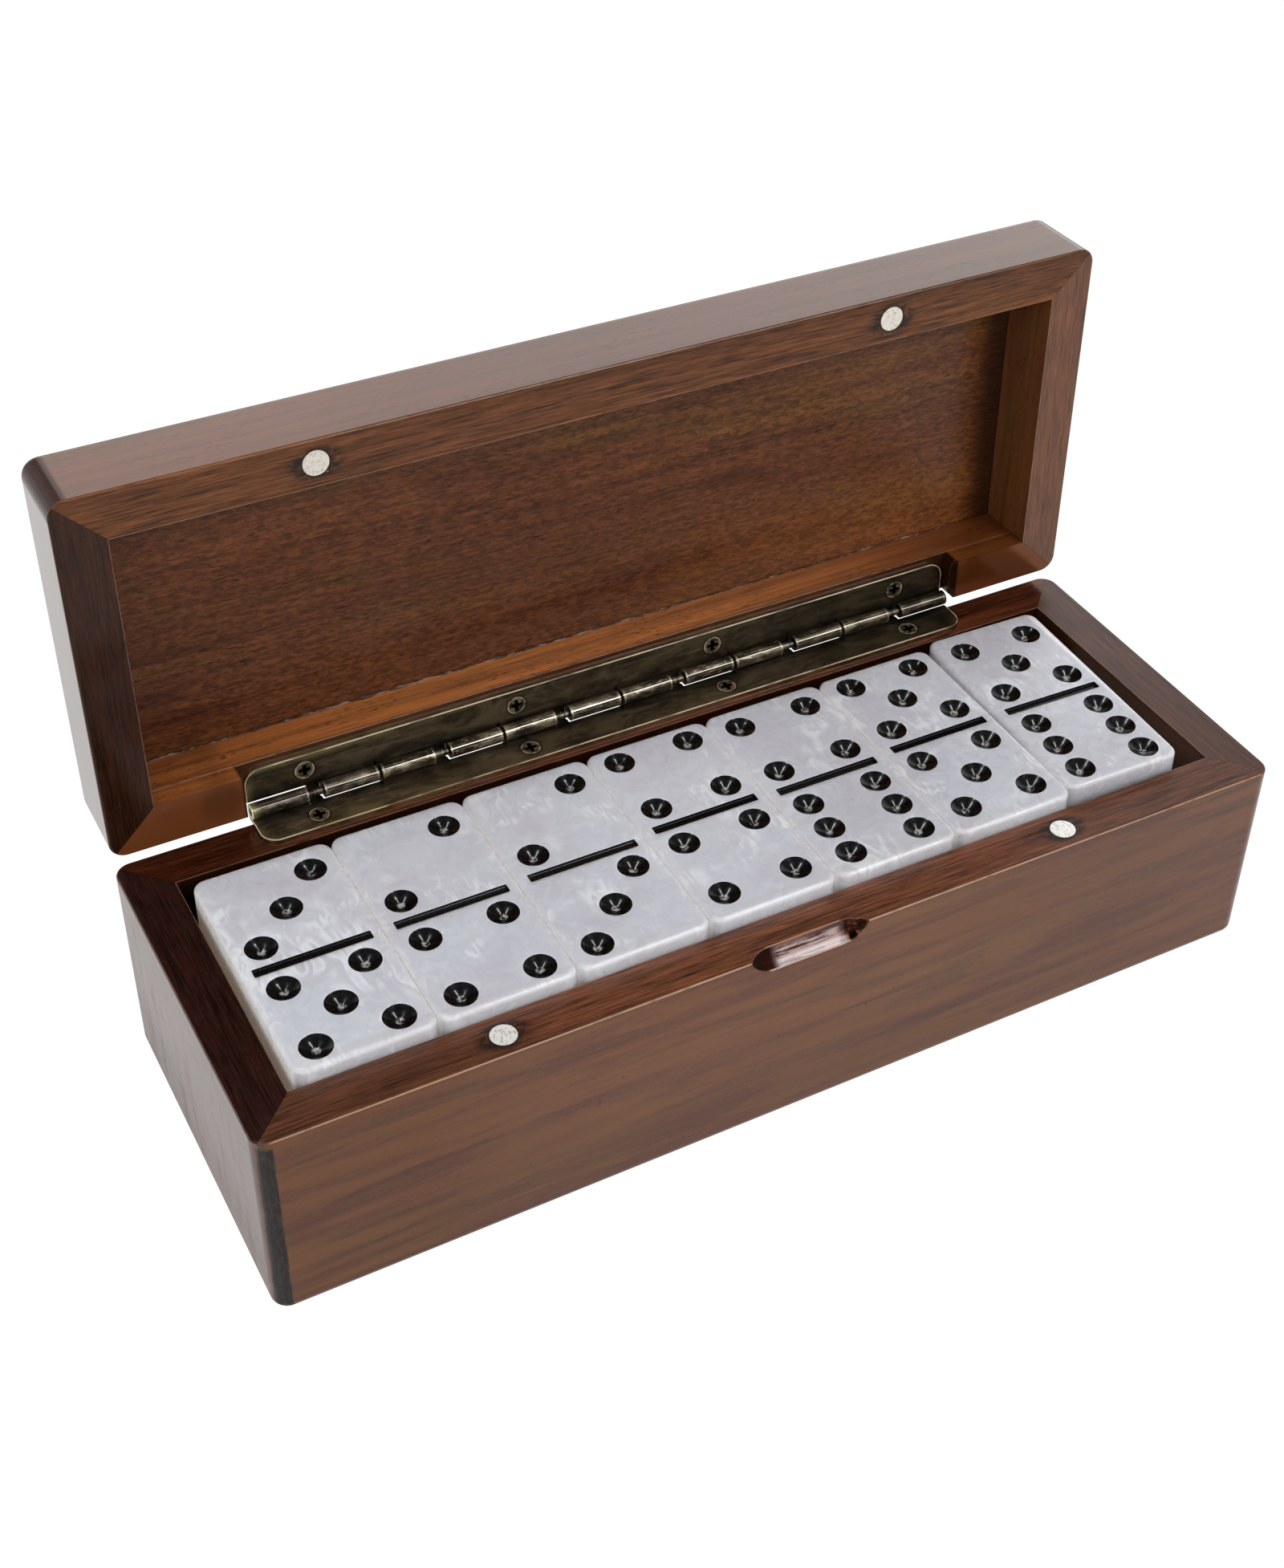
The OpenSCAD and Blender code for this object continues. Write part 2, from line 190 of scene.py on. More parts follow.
def wood(name, along="x", tone=(0.12, 0.036, 0.012), seed=0.0, streak=1.0, pore=1.0, mottle=0.22,
         rough=0.14, sheen=0.5, gold=0.6, shade=0.3, coated=None, marks=()):
    # stained hardwood with its grain along one axis; marks add what is special to a piece
    look = Look(name, Specular_IOR_Level=sheen, Coat_Roughness=0.12)

    def grain(length, width, detail=2, coarse=0.5, bend=0.0, shift=0.0):
        move = (seed + shift, seed * 0.7, seed * 1.3 + shift)
        spot = look.place(move=move, stretch=stretched(along, length, width))
        return look.clouds(spot, 1, detail, coarse, bend)

    streaks = grain(14, 420, 5, 0.66, 0.2)
    golden = grain(11, 80, 3, 0.6, 0.5, 3)
    dark = grain(15, 170, 3, 0.55, 0.5, 5)
    fibres = grain(120, 3400, 2, 0.6, 0, 1)
    clusters = grain(45, 260, 2, 0.6, 0, 7)
    pores = grain(420, 3600, 1, 0.5, 0, 9)
    dots = look.clouds(look.place(move=(seed, 1, 2)), 1700, 2, 0.7)
    value = 1 + (streaks - 0.5) * (1.4 * streak) + (fibres - 0.5) * (0.7 * pore) + (dots - 0.5) * mottle
    warm = tuple(c * k for c, k in zip(tone, (1.04, 1.3, 1.0)))
    deep = tuple(c * k for c, k in zip(tone, (0.62, 0.5, 0.52)))
    colour = look.blend(golden.ramp(0.48, 0.66) * gold, tone, warm)
    colour = look.blend(dark.ramp(0.46, 0.3) * shade, colour, deep)
    colour = look.times(colour, value)
    dash = pores.ramp(0.38, 0.29) * clusters.ramp(0.42, 0.6)
    colour = look.blend(dash * (0.7 * pore), colour, tuple(c * 0.22 for c in tone))
    gloss = fibres.ramp(0.3, 0.7, rough - 0.03, rough + 0.05)
    for mark in marks:
        colour, gloss = mark(look, colour, gloss)
    height = fibres * 0.6 + dash * -0.5 + dots * 0.15
    if coated:
        look.end(Coat_Weight=coated(look))
    if look.dark is not None:
        look.end(Metallic=look.dark)
    return look.end(Base_Color=colour, Roughness=gloss, Normal=look.bump(height, 0.00006, 0.35))


def lidCoat(amount):
    # lacquer on the lid's outside, thin at its dark front corner and on its rim
    def coat(look):
        x, y, z = look.split(shut(look))
        corner = (x + halfL + y - frontY).ramp(3.6 * mm, 4.4 * mm)
        soft = 0.1 * mm
        inner = abs(y).ramp(wellY + soft, wellY - soft) * abs(x).ramp(wellX + soft, wellX - soft)
        inner = inner * z.ramp(lidFace["panel"] + mm, lidFace["panel"] + 0.5 * mm)
        return z.ramp(lidFace["rim"] + 0.12 * mm, lidFace["rim"] + 0.4 * mm, 0.0, amount) * corner * (1 - inner)
    return coat


def wellShade(tone, dark):
    # the wood inside the well: a darker tone without shine, painted shade of the recess
    def mark(look, colour, gloss):
        x, y, z = look.split(look.place())
        far, close = 0.2 * mm, 0.06 * mm
        inside = abs(x).ramp(wellX + far, wellX + close) * abs(y).ramp(wellY + far, wellY + close)
        inside = inside * z.ramp(rimZ - 0.02 * mm, rimZ - 0.1 * mm)
        look.darken(inside * dark)
        return look.blend(inside, colour, tone), gloss
    return mark


def rimTone(tone, blend=1.0, lid=False, along="x", dull=0.0, dark=0.0):
    # the rim of a wall has a tone of its own, with fine stripes along it
    def mark(look, colour, gloss):
        x, y, z = look.split(shut(look) if lid else look.place())
        stretch = stretched(along, 100, 2500)
        fine = look.clouds(look.place(stretch=stretch), 1, 4, 0.75)
        wide = look.clouds(look.place(stretch=[c / 3.4 for c in stretch]), 1, 3, 0.6)
        rim = look.times(tone, (1 + (fine - 0.5) * 5.4 + (wide - 0.5) * 1.5).most(0.12))
        mask = onLidRim(z) if lid else z.ramp(rimZ - 0.5 * mm, rimZ - 0.15 * mm)
        if dark:
            look.darken(mask * dark)
        return look.blend(mask * blend, colour, rim), gloss + mask * dull
    return mark


def wornAndHighlightedEdges(lid, *edges):
    # thin light lines, partly where the finish is rubbed off and partly a painted highlight along the edge
    # an edge is given by two axes with their values, a width and a strength
    def mark(look, colour, gloss):
        spot = dict(zip("xyz", look.split(shut(look) if lid else look.place())))
        broken = look.clouds(look.place(stretch=(240, 240, 240)), 1, 4, 0.65)
        for first, atFirst, second, atSecond, spread, amount in edges:
            line = near(spot[first] - atFirst, spot[second] - atSecond, spread) * broken.ramp(0.3, 0.5, 0.25)
            colour = look.blend(line * amount, colour, (0.42, 0.25, 0.16))
        return colour, gloss
    return mark


def mitreLines(lid):
    # the dark line of the joint at each corner
    def mark(look, colour, gloss):
        x, y, z = look.split(shut(look) if lid else look.place())
        offset = (abs(x) - wellX) - (abs(y) - wellY)
        line = abs(offset).ramp(0.14 * mm, 0.05 * mm)
        return look.blend(line * 0.7, colour, (0.008, 0.004, 0.003)), gloss
    return mark


magnet = {"x": 62.3 * mm, "y": -35.45 * mm}
scoop = {
    "x": -0.7 * mm,
    "end": 12.4 * mm,
    "deep": 2.9 * mm,  # into the wall, with the rounding
    "down": 4.0 * mm,
    "in": 2.7 * mm,  # the lip on the rim
    "low": 3.8 * mm,  # the lip on the wall
}


def magnetStain(lid):
    # dirt rubbed along the grain round each magnet, with a few pale chips behind it
    def mark(look, colour, gloss):
        x, y, z = look.split(shut(look) if lid else look.place())
        across, deep = abs(x - scoop["x"]) - magnet["x"], y - magnet["y"]
        wide = across * 0.6
        distance = (wide * wide + deep * deep).math("SQRT")
        smear = look.clouds(look.place(stretch=(350, 900, 900)), 1, 3, 0.6)
        flecks = look.clouds(look.place(move=(1, 2, 3), stretch=(500, 1100, 1100)), 1, 3, 0.7)
        ring = distance.ramp(4.0 * mm, 2.5 * mm) * smear.ramp(0.34, 0.52) * 0.9
        rim = (across * across + deep * deep).math("SQRT").ramp(3.2 * mm, 2.75 * mm)
        face = lidFace["rim"] if lid else rimZ
        level = abs(z - face).ramp(0.3 * mm, 0.1 * mm)
        colour = look.blend(ring.most(rim * 0.95) * level, colour, (0.009, 0.005, 0.0035))
        chips = near(across, deep, 4.4 * mm) * flecks.ramp(0.6, 0.66) * deep.ramp(-1.5 * mm, 1.5 * mm)
        return look.blend(chips * level * 0.6, colour, (0.36, 0.26, 0.19)), gloss
    return mark


def scoopLook(look, colour, gloss):
    # the scoop's own finish: a glossy middle with a painted highlight low down, rough dark ends without shine, and
    # lighter lips that are partly rubbed and partly a painted highlight
    x, y, z = look.split(look.place())
    x = x - scoop["x"]
    back, down = y - frontY, rimZ - z
    inside = back.least(down).ramp(0.12 * mm, 0.3 * mm) * back.ramp(scoop["deep"] + 0.4 * mm, scoop["deep"])
    inside = inside * down.ramp(scoop["down"] + 0.5 * mm, scoop["down"] + 0.1 * mm)
    inside = inside * abs(x).ramp(scoop["end"] + mm, scoop["end"])
    streak = look.clouds(look.place(move=(2, 0, 0), stretch=(130, 1700, 1700)), 1, 4, 0.75)
    rough = look.clouds(look.place(stretch=(500, 900, 900)), 1, 3, 0.7)
    middle = x.ramp(-8 * mm, -5.5 * mm) * x.ramp(8.5 * mm, 6.5 * mm) * down.ramp(0.5 * mm, 1.5 * mm)
    tone = look.blend(streak.ramp(0.42, 0.62), (0.045, 0.012, 0.006), (0.16, 0.06, 0.038))
    # painted highlight: a pale pink band across the middle, low down
    tone = look.blend(streak.ramp(0.4, 0.55) * middle * 0.85, tone, (0.46, 0.34, 0.33))
    tone = look.blend(x.ramp(6.5 * mm, 8.5 * mm) * rough.ramp(0.4, 0.6), tone, (0.012, 0.006, 0.004))
    tone = look.blend(x.ramp(-6 * mm, -8 * mm) * 0.95, tone, (0.014, 0.0035, 0.0022))
    colour = look.blend(inside * 0.95, colour, tone)
    # lighter lips: partly rubbed, partly a painted highlight
    lipWearAndHighlight = near(back - scoop["in"], down, 0.22 * mm).most(near(back, down - scoop["low"], 0.22 * mm))
    lipWearAndHighlight = lipWearAndHighlight * x.ramp(-9.3 * mm, -8.3 * mm) * x.ramp(8.3 * mm, 7.3 * mm)
    look.darken(inside * x.ramp(-7.2 * mm, -8.2 * mm).most(x.ramp(8 * mm, 9 * mm)))
    dull = look.add("CombineXYZ", [x.ramp(-6 * mm, -8 * mm) * 0.5 + 0.12] * 3)
    return look.blend(lipWearAndHighlight * 0.6, colour, (0.45, 0.28, 0.2)), look.blend(inside, gloss, dull)


def cornerBand(look, colour, gloss):
    # the ragged black band down the front left corner
    x, y, z = look.split(look.place())
    ragged = (look.clouds(look.place(stretch=(700, 700, 200)), 1, 3, 0.7) - 0.5) * (0.9 * mm)
    ahead = (y - frontY + ragged + z * 0.012).ramp(2.4 * mm, 1.5 * mm)
    band = (x + halfL + ragged).ramp(3.5 * mm, 3.1 * mm) * ahead * z.ramp(rimZ - 0.8 * mm, rimZ - 2.2 * mm)
    specks = look.clouds(look.place(stretch=(1500, 1500, 420)), 1, 3, 0.75)
    tone = look.blend(specks.ramp(0.42, 0.68), (0.004, 0.0035, 0.0035), (0.024, 0.022, 0.022))
    return look.blend(band * 0.94, colour, tone), look.blend(band, gloss, (0.62,) * 3)


def frontFigure(look, colour, gloss):
    # wavy golden bands; towards the left end the face loses some shine, the face is lighter in its upper middle,
    # and the rest of the wall is darker towards both ends
    x, y, z = look.split(look.place())
    face = y.ramp(frontY + 0.6 * mm, frontY + 0.2 * mm)
    wavy = look.clouds(look.place(move=(6, 2, 5), turn=(0, -1.5, 0), stretch=(20, 190, 190)), 1, 4, 0.6, 0.9)
    colour = look.blend(wavy.ramp(0.47, 0.6) * face * 0.6, colour, (0.145, 0.052, 0.0105))
    colour = look.blend(wavy.ramp(0.44, 0.34) * face * 0.28, colour, (0.07, 0.021, 0.0085))
    left = x.ramp(-56 * mm, -84 * mm) * face
    look.darken(left * 0.2)
    middle = x.ramp(-84 * mm, -36 * mm) * x.ramp(70 * mm, 20 * mm) * z.ramp(8 * mm, 24 * mm)
    ends = x.ramp(-45 * mm, -85 * mm).most(x.ramp(40 * mm, 90 * mm)) * (1 - face)
    return look.times(colour, 1 + left * 0.06 + middle * face * 0.14 - face * 0.13 - ends * 0.33), gloss


# x, z and size of each dent in millimetres
dents = ((-46, 24, 0.5), (-41, 28.5, 0.28), (13.5, 22.5, 0.3), (-60.5, 14.2, 0.25))


def frontDents(look, colour, gloss):
    x, y, z = look.split(look.place())
    for dx, dz, size in dents:
        dent = near(x - dx * mm, (z - dz * mm) * 0.4, size * mm)
        colour = look.blend(dent * 0.55, colour, (0.03, 0.012, 0.007))
    return colour, gloss


def lidCorner(look, colour, gloss):
    # the lid's dark front left corner
    x, y, z = look.split(shut(look))
    band = (x + halfL + y - frontY).ramp(4.4 * mm, 3.6 * mm) * (z - lidFace["rim"]).ramp(0.3 * mm, 0.9 * mm)
    return look.blend(band * 0.85, colour, (0.03, 0.01, 0.007)), gloss


def panelShade(look, colour, gloss):
    # inside, the panel is lighter at the right and dark along its seams: a painted glow of bounced light towards
    # the right and the back rail, lighter near the front rail, and painted shadow with stain beside the right rail
    x, y, z = look.split(shut(look))
    cloud = look.clouds(look.place(stretch=(20, 60, 60)), 1, 3, 0.6, 0.4)
    # painted light: a glow of bounced light
    glow = x.ramp(-10 * mm, 60 * mm) * y.ramp(-5 * mm, 28 * mm) * cloud.ramp(0.3, 0.55)
    colour = look.blend(glow * 0.6, colour, (0.17, 0.054, 0.012))
    colour = look.times(colour, 1 + y.ramp(0, -28 * mm) * 0.35)
    ripple = look.clouds(look.place(stretch=(600, 1400, 1400)), 1, 2, 0.6, 0.5)
    colour = look.times(colour, ripple.ramp(0.3, 0.7, 0.6, 1.4))
    # painted shadow and stain beside the right rail
    colour = look.blend(x.ramp(94 * mm, 99.5 * mm) * 0.8, colour, (0.024, 0.008, 0.003))
    seam = abs(abs(y) - wellY).least(abs(abs(x) - wellX)).ramp(0.5 * mm, 0.15 * mm)
    colour = look.blend(seam * 0.7, colour, (0.01, 0.004, 0.003))
    outside = z.ramp(lidFace["panel"] + 0.5 * mm, lidFace["panel"] + mm)
    return look.blend(outside, colour, outerFinish(look, (0.115, 0.037, 0.0125), 1.5)), gloss - outside * 0.08


def lidFrontShade(look, colour, gloss):
    # painted shade: the front rail's outside darkens towards the right
    x, y, z = look.split(shut(look))
    outside = y.ramp(-wellY - 6 * mm, -halfD + 0.3 * mm)
    return look.times(colour, 1 - x.ramp(-80 * mm, 0) * outside * 0.28), gloss


def leftHaze(look, colour, gloss):
    # the finish of the left side is duller and browner towards the foot
    x, y, z = look.split(look.place())
    rubbed = look.clouds(look.place(stretch=(500, 260, 60)), 1, 4, 0.65)
    colour = look.times(colour, rubbed.ramp(0.3, 0.7, 0.7, 1.35))
    return colour, gloss + z.ramp(30 * mm, 4 * mm) * 0.1 + rubbed.ramp(0.45, 0.7) * 0.08


def backRailToneAndShade(look, colour, gloss):
    # orange inside, darker at both ends and on the rim, with the stained finish outside; this darkening is painted
    # shade, with stain at the left end too, and the rim and the right end also lose their shine
    x, y, z = look.split(shut(look))
    rim = onLidRim(z)
    rimShadeColour = look.blend(x.ramp(-60 * mm, 60 * mm), (0.19, 0.06, 0.015), (0.05, 0.014, 0.004))
    colour = look.blend(rim * 0.85, colour, rimShadeColour)
    look.darken((rim * 0.6).most(x.ramp(50 * mm, 90 * mm) * 0.5) * x.ramp(0, 60 * mm))
    colour = look.blend(x.ramp(20 * mm, 100 * mm) * 0.68, colour, (0.16, 0.044, 0.0092))
    colour = look.blend(x.ramp(-40 * mm, -100 * mm) * (rim * 0.4 + 0.28), colour, (0.08, 0.022, 0.007))
    stain = near(x + 89 * mm, y - 34.5 * mm, 6 * mm)
    colour = look.blend(stain * 0.4, colour, (0.03, 0.01, 0.005))
    notch = abs(x).ramp(85.1 * mm, 84.5 * mm) * z.ramp(51.5 * mm, 51 * mm)
    colour = look.blend(notch * 0.85, colour, (0.018, 0.007, 0.004))
    top = z.ramp(lidFace["panel"] + 0.5 * mm, lidFace["panel"] + mm)
    outside = y.ramp(halfD - 0.6 * mm, halfD - 0.2 * mm).most(top)
    return look.blend(outside, colour, outerFinish(look, (0.118, 0.038, 0.0128), 1.6)), gloss


# how wide the worn lines are on rounded and on sharp edges
rounded = 0.37 * mm
sharp = 0.18 * mm
lidRim = lidFace["rim"]
notchTop = lidRim + 2 * (pin.z - rimZ) - 0.1 * mm
# tone, seed of the grain and marks of each wooden piece; the other values are wood's own
baseWood = {
    "base_front_wall": dict(
        tone=(0.104, 0.031, 0.0098), seed=0.3, gold=0.9, streak=1.3, mottle=0.55, shade=0.3, sheen=0.42,
        marks=(wellShade((0.026, 0.0075, 0.0026), 0.7), rimTone((0.129, 0.041, 0.0165), 0.92, dull=0.2),
               frontFigure, frontDents, magnetStain(False), cornerBand, scoopLook,
               wornAndHighlightedEdges(False, ("y", frontY, "z", rimZ, rounded, 0.8), ("y", -wellY, "z", rimZ, sharp, 0.3)),
               mitreLines(False))),
    # the back wall's dark rim, without its shine, is painted shade from the lid
    "base_back_wall": dict(
        tone=(0.12, 0.036, 0.012), seed=1.7,
        marks=(wellShade((0.024, 0.0062, 0.0024), 0.3), rimTone((0.074, 0.0165, 0.0045), dark=0.45),
               wornAndHighlightedEdges(False, ("y", wellY, "z", rimZ, 0.2 * mm, 0.5)), mitreLines(False))),
    "base_left_wall": dict(
        along="y", tone=(0.1, 0.034, 0.017), seed=2.9, mottle=0.5,
        marks=(leftHaze, wellShade((0.034, 0.0105, 0.0048), 0.35),
               rimTone((0.024, 0.0062, 0.0036), 1.0, along="y", dull=0.1, dark=0.3), cornerBand,
               wornAndHighlightedEdges(False, ("x", -wellX, "z", rimZ, 0.2 * mm, 0.55), ("x", -halfL, "z", rimZ, rounded, 0.35)),
               mitreLines(False))),
    "base_right_wall": dict(
        along="y", tone=(0.12, 0.036, 0.014), seed=4.1,
        marks=(wellShade((0.07, 0.024, 0.0085), 0.3), rimTone((0.056, 0.017, 0.007), 0.9, along="y", dull=0.2),
               wornAndHighlightedEdges(False, ("x", wellX, "z", rimZ, sharp, 0.4)), mitreLines(False))),
    "base_floor": dict(tone=(0.05, 0.016, 0.006), seed=5.3, pore=1.4),
}
lidWood = {
    "lid_front_rail": dict(
        tone=(0.14, 0.043, 0.0135), seed=6.1, sheen=0.2, coated=lidCoat(0.3),
        marks=(rimTone((0.095, 0.033, 0.0105), 0.9, True), lidFrontShade, lidCorner, magnetStain(True),
               wornAndHighlightedEdges(True, ("y", -halfD, "z", lidRim, rounded, 0.25), ("y", -wellY, "z", lidRim, sharp, 0.4)),
               mitreLines(True))),
    "lid_back_rail": dict(
        tone=(0.33, 0.106, 0.026), seed=7.7, streak=1.7, pore=2.0, shade=0.7, gold=0.3,
        marks=(backRailToneAndShade, wornAndHighlightedEdges(True, ("y", wellY, "z", notchTop, 0.24 * mm, 0.6)), mitreLines(True))),
    "lid_left_rail": dict(
        along="z", tone=(0.11, 0.036, 0.016), seed=8.3, streak=1.5, sheen=0.3, coated=lidCoat(0.6),
        marks=(rimTone((0.022, 0.007, 0.0026), 0.9, True, "z", dark=0.35), lidCorner,
               wornAndHighlightedEdges(True, ("x", -wellX, "z", lidRim, sharp, 0.35)), mitreLines(True))),
    "lid_right_rail": dict(
        along="z", tone=(0.12, 0.041, 0.014), seed=9.5, sheen=0.4, coated=lidCoat(0.5),
        marks=(rimTone((0.108, 0.037, 0.0125), 0.6, True, "z"),
               wornAndHighlightedEdges(True, ("x", wellX, "z", lidRim, sharp, 0.4)), mitreLines(True))),
    "lid_panel": dict(
        tone=(0.085, 0.026, 0.008), seed=10.9, pore=1.8, mottle=0.5, rough=0.26, sheen=0.2, gold=0.9, shade=0.8,
        coated=lidCoat(0.4), marks=(panelShade,)),
}
for name, settings in {**baseWood, **lidWood}.items():
    dress(name, wood("wood_" + name, **settings))
print("wood dressed")


def hingePlace(look, lid):
    # coordinates from the pin as the leaves lie when the lid is shut, the lid's leaf mirrored onto the base's
    x, y, z = look.split(shut(look) if lid else look.place())
    return x, y - pin.y, abs(z - pin.z)


leafLow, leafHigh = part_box("hinge_base_leaf")
leaf = {
    "pairs": 6,
    "pair": 166.4 / 6 * mm,  # one knuckle of each leaf
    "bare": (12.067 * mm, 15.467 * mm),  # where the pin shows within a pair
    "half": leafHigh.x,
    "front": leafLow.y - pin.y,
    "corner": 3.5 * mm,
    "face": 1.7 * mm,  # the flat leaf's surface, from the pin
    "knuckle": 1.66 * mm,
    "seam": (1.09 * mm, 1.25 * mm),  # where the roll ends, in front of the pin and above it
}
screw = {"pitch": 141.2 / 3 * mm, "y": -4.9 * mm}
leafTone = {
    "tarnished": (0.06, 0.047, 0.031), "clean": (0.17, 0.138, 0.09), "stained": (0.09, 0.075, 0.07),
    "brushed": (0.3, 0.255, 0.17), "rollDark": (0.024, 0.02, 0.015), "rollLight": (0.21, 0.18, 0.135),
    "rollBrushed": (0.13, 0.11, 0.085), "rubbed": (0.36, 0.31, 0.24), "black": (0.02, 0.016, 0.012),
    "lip": (0.5, 0.45, 0.36), "seam": (0.006, 0.005, 0.004), "rollEndHighlight": (0.42, 0.37, 0.29),
    "gapShade": (0.004, 0.0035, 0.003), "speck": (0.34, 0.3, 0.22), "scratch": (0.42, 0.36, 0.27),
    "screwRing": (0.02, 0.016, 0.011), "rightSide": (0.03, 0.024, 0.015), "brass": (0.36, 0.32, 0.15),
    "edge": (0.92, 0.8, 0.56),
}


def leafLook(name, lid):
    # antique brass: tarnish, brushing and stains on the flat, worn knuckles with painted highlights and shade, and
    # bright edges that are a painted highlight
    look = Look(name)
    tone = leafTone
    x, y, z = hingePlace(look, lid)
    brush = look.clouds(look.place(stretch=(70, 2600, 2600)), 1, 3, 0.6)
    tarnish = look.clouds(look.place(stretch=(110, 260, 260)), 1, 4, 0.62, 0.6)
    stain = look.clouds(look.place(move=(4, 4, 4), stretch=(60, 160, 160)), 1, 3, 0.6, 0.8)
    colour = look.blend(tarnish.ramp(0.36, 0.66), tone["tarnished"], tone["clean"])
    colour = look.blend(stain.ramp(0.55, 0.7) * 0.5, colour, tone["stained"])
    colour = look.blend(brush.ramp(0.56, 0.72) * 0.4, colour, tone["brushed"])

    # the rolled knuckles, with the gaps between them and the seam along them; the dark gaps, the dark round the
    # bare pin and the seam's dark line are painted shade, and the seam's light lip and the bright knuckle ends are
    # painted highlights
    away = (y * y + z * z).math("SQRT")
    roll = away.ramp(leaf["knuckle"] + 0.06 * mm, leaf["knuckle"]) * z.ramp(leaf["face"] + 0.05 * mm, leaf["face"])
    worn = look.blend(tarnish.ramp(0.42, 0.64), tone["rollDark"], tone["rollLight"])
    worn = look.blend(brush.ramp(0.45, 0.62) * 0.5, worn, tone["rollBrushed"])
    colour = look.blend(roll * 0.9, colour, worn)
    step = ((x + leaf["half"]) / leaf["pair"]).math("FRACT") * leaf["pair"]
    bareFrom, bareTo = leaf["bare"]
    bare = step.ramp(bareFrom - 0.1 * mm, bareFrom) * step.ramp(bareTo + 0.1 * mm, bareTo)
    joint = step.ramp(0.35 * mm, 0.1 * mm).most(step.ramp(leaf["pair"] - 0.6 * mm, leaf["pair"] - 0.3 * mm))
    close = away.ramp(leaf["knuckle"] + 1.2 * mm, leaf["knuckle"] + 0.4 * mm)
    patch = look.clouds(look.place(move=(7, 1, 3), stretch=(320, 700, 700)), 1, 4, 0.7, 0.4)
    colour = look.blend(roll * patch.ramp(0.54, 0.61) * 0.7, colour, tone["rubbed"])
    colour = look.blend(roll * patch.ramp(0.47, 0.38) * 0.7, colour, tone["black"])
    seamY, seamZ = y + leaf["seam"][0], z - leaf["seam"][1]
    colour = look.blend(roll * near(seamY, seamZ, 0.16 * mm) * 0.8, colour, tone["lip"])
    colour = look.blend(roll * near(seamY - 0.2 * mm, seamZ - 0.13 * mm, 0.16 * mm), colour, tone["seam"])
    # painted reflection: the base leaf lighter towards its left end; painted shade: the knuckles darker at the far
    # left
    paintedReflectionLeft = (1 - roll) * x.ramp(-20 * mm, -66 * mm) * (0.0 if lid else 0.55)
    paintedShadeLeft = roll * x.ramp(-56 * mm, -74 * mm) * 0.45
    colour = look.times(colour, 1 + paintedReflectionLeft - paintedShadeLeft)
    for end in (0.6 * mm, bareFrom - 0.28 * mm, bareTo + 0.28 * mm, leaf["pair"] - 0.75 * mm):
        colour = look.blend(roll * abs(step - end).ramp(0.22 * mm, 0.1 * mm) * 0.6, colour, tone["rollEndHighlight"])
    colour = look.blend(close * (bare * 0.35).most(joint), colour, tone["gapShade"])

    # specks, hair scratches and dark rings round the screws
    specks = look.clouds(look.place(), 1500, 3, 0.75)
    colour = look.blend(specks.ramp(0.64, 0.72) * 0.6, colour, tone["speck"])
    hair = look.clouds(look.place(move=(2, 8, 1), stretch=(60, 1500, 1500)), 1, 2, 0.5, 0.2)
    broken = look.clouds(look.place(move=(1, 1, 5)), 180, 2, 0.6)
    scratches = abs(hair - 0.5).ramp(0.008, 0.002) * broken.ramp(0.58, 0.66)
    colour = look.blend(scratches * 0.6, colour, tone["scratch"])
    aside = (x - screw["pitch"] / 2).repeat(screw["pitch"] / 2)
    fromScrew = (aside * aside + (y - screw["y"]) * (y - screw["y"])).math("SQRT")
    colour = look.blend(fromScrew.ramp(2.75 * mm, 2.15 * mm) * 0.75, colour, tone["screwRing"])
    colour = look.blend(x.ramp(0 * mm, 84 * mm) * (0.6 if lid else 0.4), colour, tone["rightSide"])

    # bare brass at the left end, and a painted highlight: a bright edge all round
    alongEnd = (abs(x) - (leaf["half"] - leaf["corner"])).most(0)
    alongFront = (leaf["front"] + leaf["corner"] - y).most(0)
    outline = (alongEnd * alongEnd + alongFront * alongFront).math("SQRT") - leaf["corner"]
    brass = outline.ramp(-2.2 * mm, -0.2 * mm) * x.ramp(-20 * mm, -76 * mm) * tarnish.ramp(0.3, 0.55)
    colour = look.blend(brass * 0.65, colour, tone["brass"])
    rim = outline.ramp(-0.2 * mm, -0.1 * mm) * z.ramp(leaf["face"] + 0.35 * mm, leaf["face"] + 0.15 * mm)
    rim = rim * look.clouds(look.place(stretch=(120, 400, 400)), 1, 3, 0.6).ramp(0.3, 0.55, 0.25, 1)
    colour = look.blend(rim, colour, tone["edge"])
    gloss = brush.ramp(0.3, 0.7, 0.34, 0.5)
    bump = look.bump(brush + tarnish * 0.4, 0.06 * mm, 0.5)
    return look.end(Base_Color=colour, Metallic=1 - rim * 0.75, Roughness=gloss, Normal=bump)


